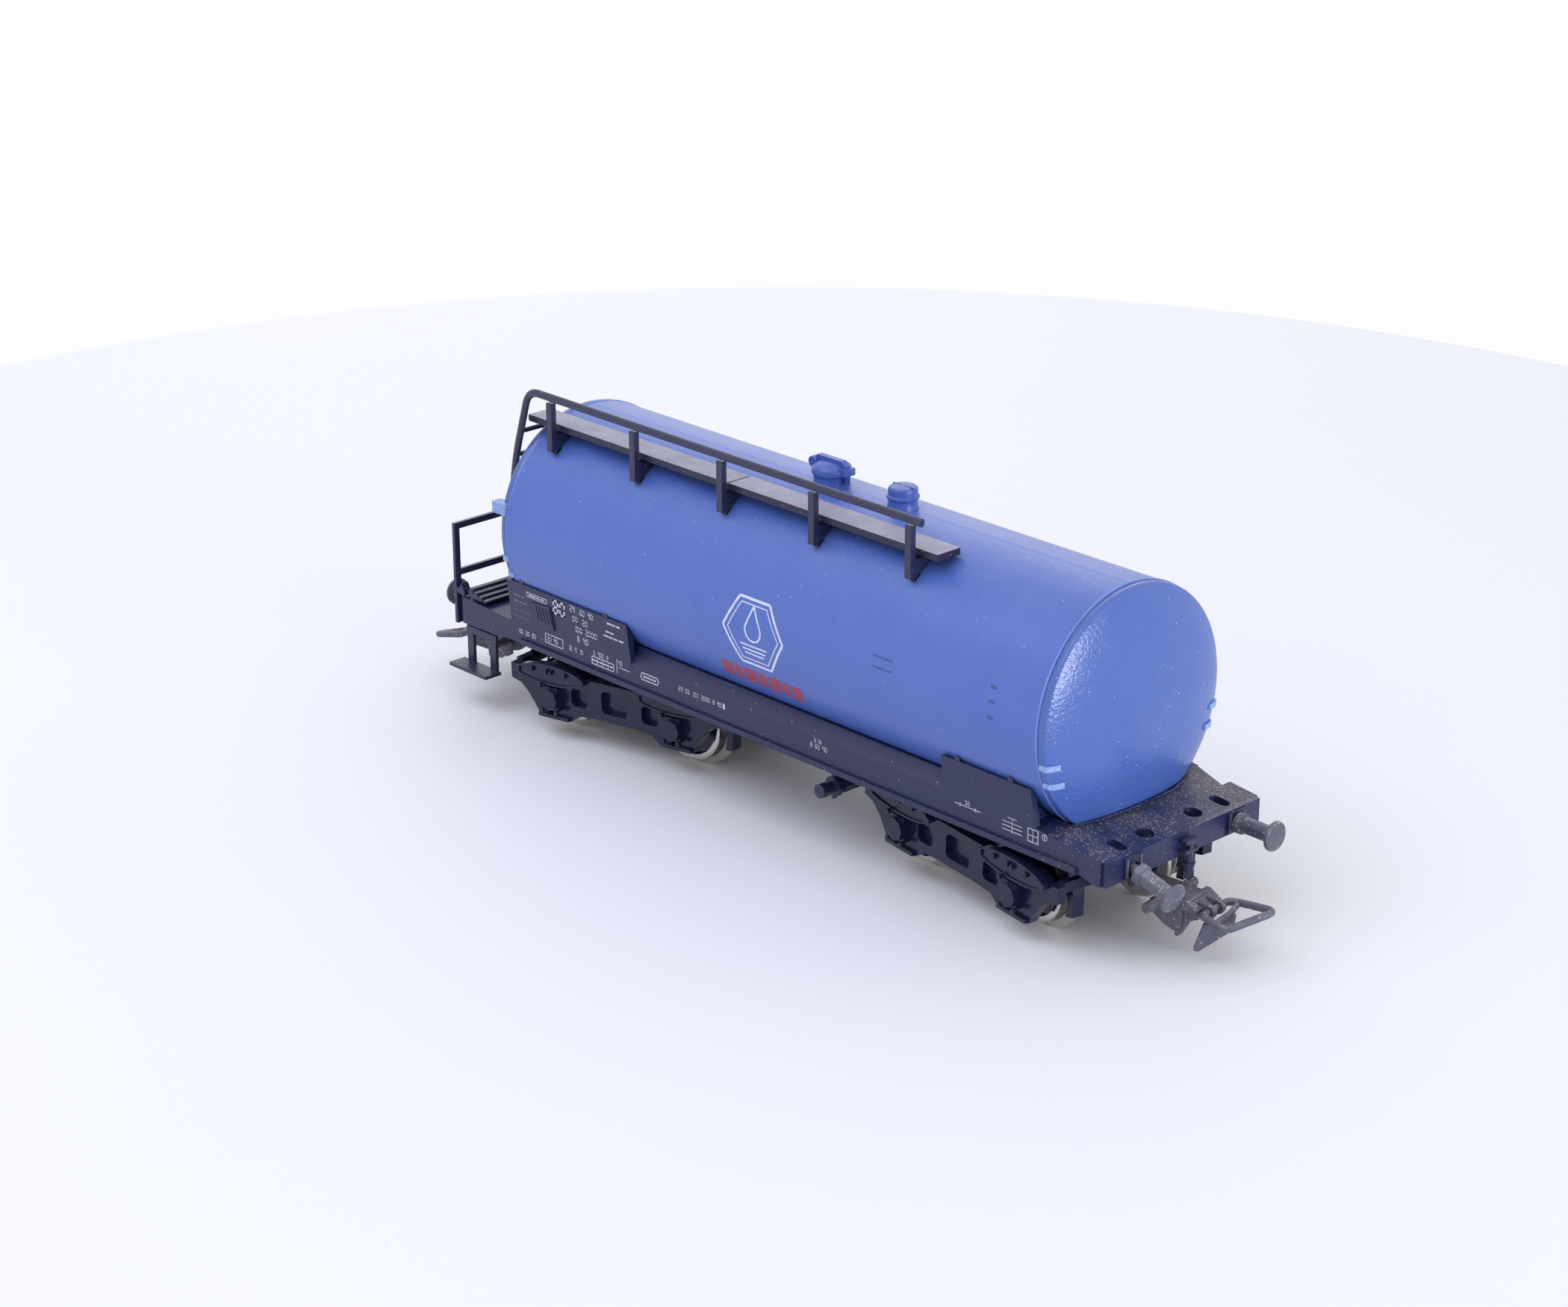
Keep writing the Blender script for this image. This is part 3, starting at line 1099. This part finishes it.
def coupler_head():
    """The coupler's shank, cross pegs, cheek, striking plate and hinge ears, about its pivot."""
    x, z = COUPLER_HINGE_X - COUPLER_PIVOT_X, COUPLER_HINGE_Z
    top = DRAWBAR_TOP - DRAWBAR_THICKNESS - GAP
    shank = box((0, -1.9 * MM, top - 1.0 * MM), (x - 3.9 * MM, 1.9 * MM, top))
    eye_plate = rod("Z", (0, 0, top - 0.5 * MM), 2.1 * MM, 1.0 * MM, 12)
    nose = box((x - 5.2 * MM, -1.8 * MM, z - 1.7 * MM), (x - 2.0 * MM, 1.8 * MM, top - 0.1 * MM))
    slope = [(x - 3.0 * MM, z + 1.3 * MM), (x - 2.4 * MM, z + 1.3 * MM), (x - 0.8 * MM, z + 0.3 * MM),
             (x - 0.9 * MM, z - 0.15 * MM), (x - 3.0 * MM, z - 0.15 * MM)]
    striker = plate("XZ", slope, -LOOP_HALF_WIDTH - 0.1 * MM, LOOP_HALF_WIDTH + 0.1 * MM)
    pegs = rod("Y", (x - 6.6 * MM, 0, z - 0.05 * MM), 0.7 * MM, 10.6 * MM, 8)
    cheek_outline = [(x - 8.2 * MM, z - 0.2 * MM), (x - 7.7 * MM, z - 1.8 * MM), (x - 6.0 * MM, z - 3.0 * MM),
                     (x - 4.2 * MM, z - 3.5 * MM), (x - 3.4 * MM, z - 3.2 * MM), (x - 2.9 * MM, z + 0.8 * MM),
                     (x - 5.0 * MM, z + 0.8 * MM)]
    cheeks = [plate("XZ", cheek_outline, y - 0.35 * MM, y + 0.35 * MM) for y in (-1.95 * MM, 1.95 * MM)]
    tab_outline = [(x - 3.4 * MM, z + 0.6 * MM), (x - 4.4 * MM, z - 4.1 * MM), (x - 4.0 * MM, z - 4.3 * MM),
                   (x - 2.85 * MM, z - 2.4 * MM), (x - 2.3 * MM, z + 0.6 * MM)]
    tab = plate("XZ", tab_outline, -2.05 * MM, -0.9 * MM)
    ear_outline = arc((x, z), EAR_RADIUS, -90, 90, 5) + [(x - 2.4 * MM, z + EAR_RADIUS),
                                                       (x - 2.4 * MM, z - EAR_RADIUS)]
    ears = [plate("XZ", ear_outline, y - 0.35 * MM, y + 0.35 * MM) for y in (-1.0 * MM, 1.0 * MM)]
    head = join(shank, eye_plate, nose, striker, pegs, *cheeks, tab, *ears)
    eye = rod("Z", (0, 0, top), COUPLER_PIN_RADIUS + GAP, 8 * MM, 12)
    bore = rod("Y", (x, 0, z), LOOP_WIRE + 0.12 * MM, 8 * MM, 12)
    return cut(head, eye, bore)


def coupler_loop():
    """The lifting bow: a bent wire hinged by its crossbar, with the release tongue under it."""
    x, z, half = COUPLER_HINGE_X - COUPLER_PIVOT_X, COUPLER_HINGE_Z, LOOP_HALF_WIDTH
    path = [(0.0, -half, 0.0), (3.3 * MM, -3.1 * MM, -0.5 * MM), (4.1 * MM, -2.8 * MM, -0.5 * MM),
            (6.8 * MM, 1.9 * MM, 0.7 * MM), (6.9 * MM, 2.5 * MM, 0.8 * MM), (6.3 * MM, 2.9 * MM, 0.8 * MM),
            (1.2 * MM, 3.6 * MM, 0.0), (0.3 * MM, half + 0.5 * MM, 0.0), (0.0, half, 0.0)]
    bow = wire([(x + a, b, z + c) for a, b, c in path], LOOP_WIRE, closed=True)
    bridge = wire([(x + 2.2 * MM, -2.9 * MM, z - 0.3 * MM), (x + 2.2 * MM, 0.6 * MM, z),
                   (x + 1.9 * MM, 1.8 * MM, z + 0.1 * MM), (x + 1.3 * MM, 3.5 * MM, z)], LOOP_WIRE * 0.8)
    outline = [(-0.6 * MM, -5.2 * MM), (0.1 * MM, -5.3 * MM), (4.2 * MM, -2.2 * MM), (4.6 * MM, -0.2 * MM),
               (3.8 * MM, -0.2 * MM), (2.4 * MM, -2.0 * MM), (1.3 * MM, -1.35 * MM), (0.6 * MM, -1.6 * MM)]
    tongue = plate("XZ", outline, -0.4 * MM, 0.4 * MM)
    tongue.data.transform(Matrix.Translation((x - 0.9 * MM, -1.9 * MM, z))
                          @ Matrix.Rotation(math.radians(35.0), 4, "Z"))
    return join(bow, bridge, tongue)


# Small fittings.

def make_drain():
    """The outlet under the tank with a capped valve to each side."""
    x, z = DRAIN_X, DRAIN_Z
    stem_top = TANK_HEIGHT - CRADLE_RADIUS - CRADLE_WALL - GAP
    stem = rod("Z", (x, 0, (z + stem_top) / 2), 1.1 * MM, stem_top - z, 8)
    pipe = rod("Y", (x, 0, z), 0.8 * MM, 2 * DRAIN_HALF_WIDTH, 8)
    body = []
    for side in (-1, 1):
        body.append(rod("Y", (x, side * 8.6 * MM, z), 1.35 * MM, 3.4 * MM, 8))
        body.append(rod("Y", (x, side * 11.4 * MM, z), 1.5 * MM, 0.8 * MM, 8))
        body.append(rod("Y", (x, side * 13.6 * MM, z), 1.05 * MM, 1.2 * MM, 8))
        body.append(rod("Z", (x, side * 11.4 * MM, z + 0.2 * MM), 0.4 * MM, 3.8 * MM, 6))
    finish("drain_valve", join(stem, pipe, *body), DARK, WAGON)


def make_hose(word, side):
    """The air hose stub under the draw hook at the middle of a headstock."""
    x = side * (FRAME_END + GAP + 0.55 * MM)
    hose = turned("Z", (x, 0, 0), [
        (0.0, 13.4 * MM), (0.5 * MM, 13.3 * MM), (0.5 * MM, 11.4 * MM), (0.9 * MM, 11.3 * MM),
        (0.9 * MM, 11.0 * MM), (0.7 * MM, 10.9 * MM), (0.7 * MM, 10.1 * MM), (0.4 * MM, 9.8 * MM),
        (0.0, 9.8 * MM)], 6)
    bars = [box((x - 0.5 * MM, -1.2 * MM, z), (x + 0.5 * MM, 1.2 * MM, z + 0.5 * MM))
            for z in (12.7 * MM, 14.0 * MM)]
    stem = box((x - 0.4 * MM, -0.4 * MM, 12.9 * MM), (x + 0.4 * MM, 0.4 * MM, 14.2 * MM))
    finish(f"air_hose_{word}", join(hose, stem, *bars), DARK, WAGON)


def centre_on_table():
    """Stand the wagon with the middle of its overall box over the origin."""
    bpy.context.view_layer.update()
    corners = [piece.matrix_world @ corner.co
               for piece in PARTS.objects if piece.type == "MESH" for corner in piece.data.vertices]
    for axis in range(2):
        values = [corner[axis] for corner in corners]
        WAGON.location[axis] = -(min(values) + max(values)) / 2
    bpy.context.view_layer.update()


reset_scene()
PARTS = make_collection("model_tank_wagon")
CUTTERS = make_collection("cutters")
BLUE = make_material("blue_moulding", (0.085, 0.165, 0.52), 0.45)
DARK = make_material("dark_moulding", (0.055, 0.055, 0.07), 0.6)
COUPLER = make_material("coupler_moulding", (0.12, 0.12, 0.13), 0.65)
STEEL = make_material("steel", (0.35, 0.35, 0.36), 0.4, 0.9)
NICKEL = make_material("nickel_silver", (0.62, 0.6, 0.56), 0.35, 1.0)
WAGON = make_empty("wagon", (0, 0, 0))

make_barrel()
make_cap("tank_end_cap_right", 1)
make_cap("tank_end_cap_left", -1)
make_manhole()
make_vent()
make_ballast()
make_walkway()
make_posts()
make_handrail()
make_ladder()
make_underframe()
make_platform()
make_railing()
make_step("step_near", -1)
make_step("step_far", 1)
make_buffers()
make_bogie("left", -1, LEFT_PIVOT, LEFT_BOGIE_TURN, 1)
make_bogie("right", 1, RIGHT_PIVOT, RIGHT_BOGIE_TURN, 3)
make_drain()
make_hose("right", 1)
make_hose("left", -1)
centre_on_table()
